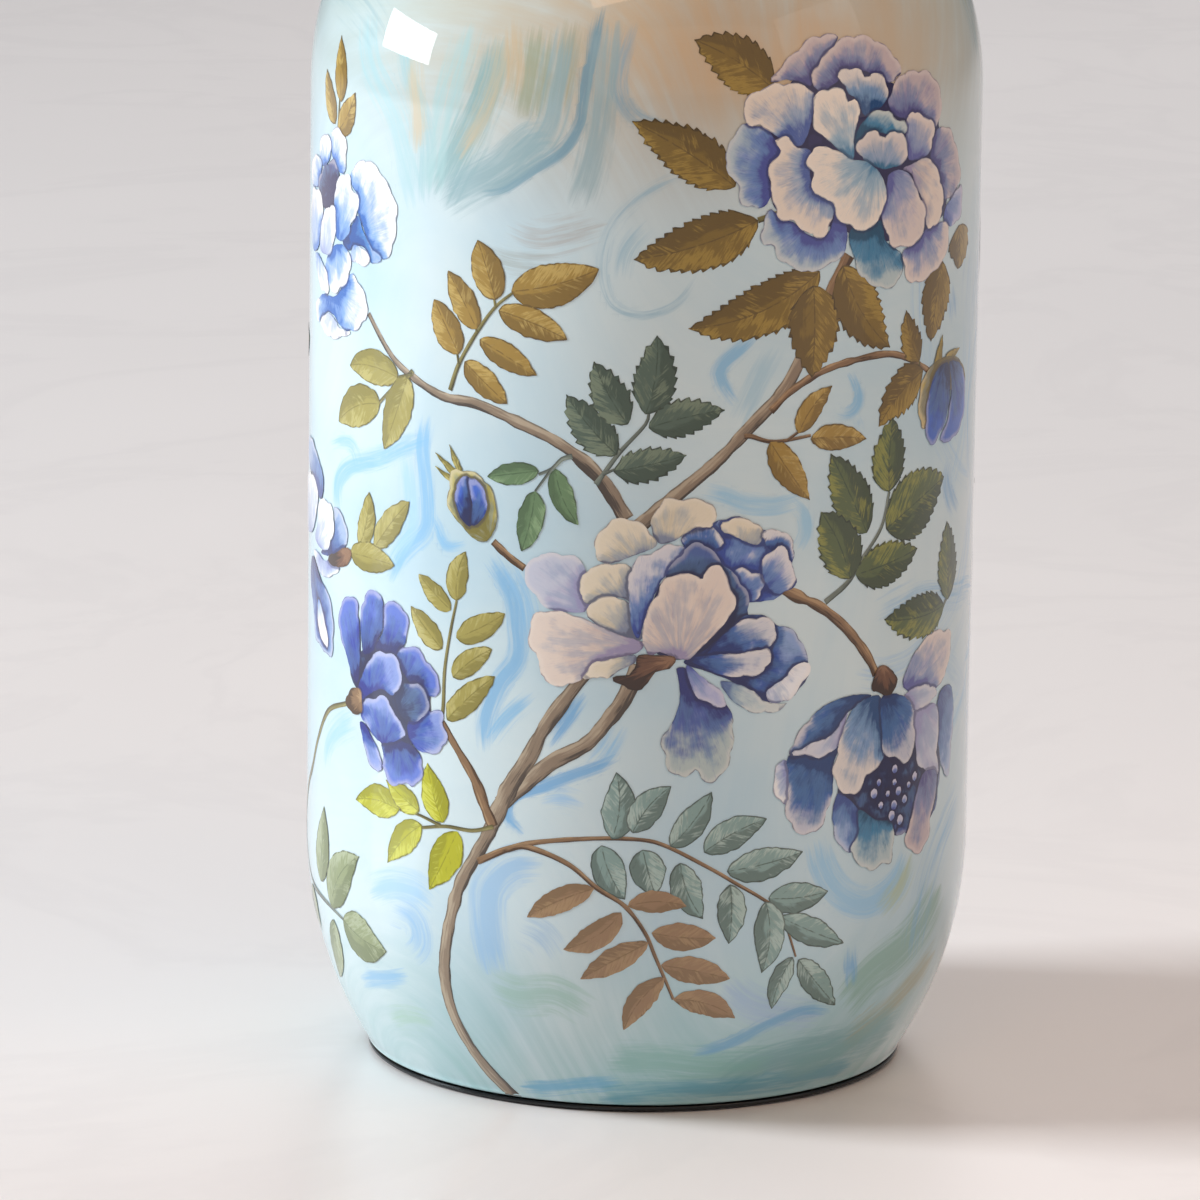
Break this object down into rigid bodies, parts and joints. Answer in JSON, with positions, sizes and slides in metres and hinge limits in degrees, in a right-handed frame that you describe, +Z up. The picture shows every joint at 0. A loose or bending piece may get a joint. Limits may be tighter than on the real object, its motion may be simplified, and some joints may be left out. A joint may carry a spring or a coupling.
{
  "type": "painted pottery vase",
  "caption": "Tall cylindrical pottery vase with a rounded shoulder and open mouth, painted with flowering branches on pale blue, on a thin black base with felt pads.",
  "frame": {"origin": "on the surface that the vase stands on, under its axis: the bottom centre of the felt pads", "axes": "+Z up along the axis of the body, towards the mouth; -Y is the side painted with the main branch"},
  "size_m": [0.2, 0.2, 0.4],
  "materials": {
    "painted_glaze": "gloss",
    "black_lacquer": "gloss lacquer",
    "bedding_rubber": "matt",
    "pad_felt": "felt"
  },
  "bodies": {
    "root": {"vase_body": "painted_glaze", "base_plate": "black_lacquer", "bedding_ring": "bedding_rubber", "felt_pad_1": "pad_felt", "felt_pad_2": "pad_felt", "felt_pad_3": "pad_felt", "felt_pad_4": "pad_felt"}
  },
  "joints": []
}
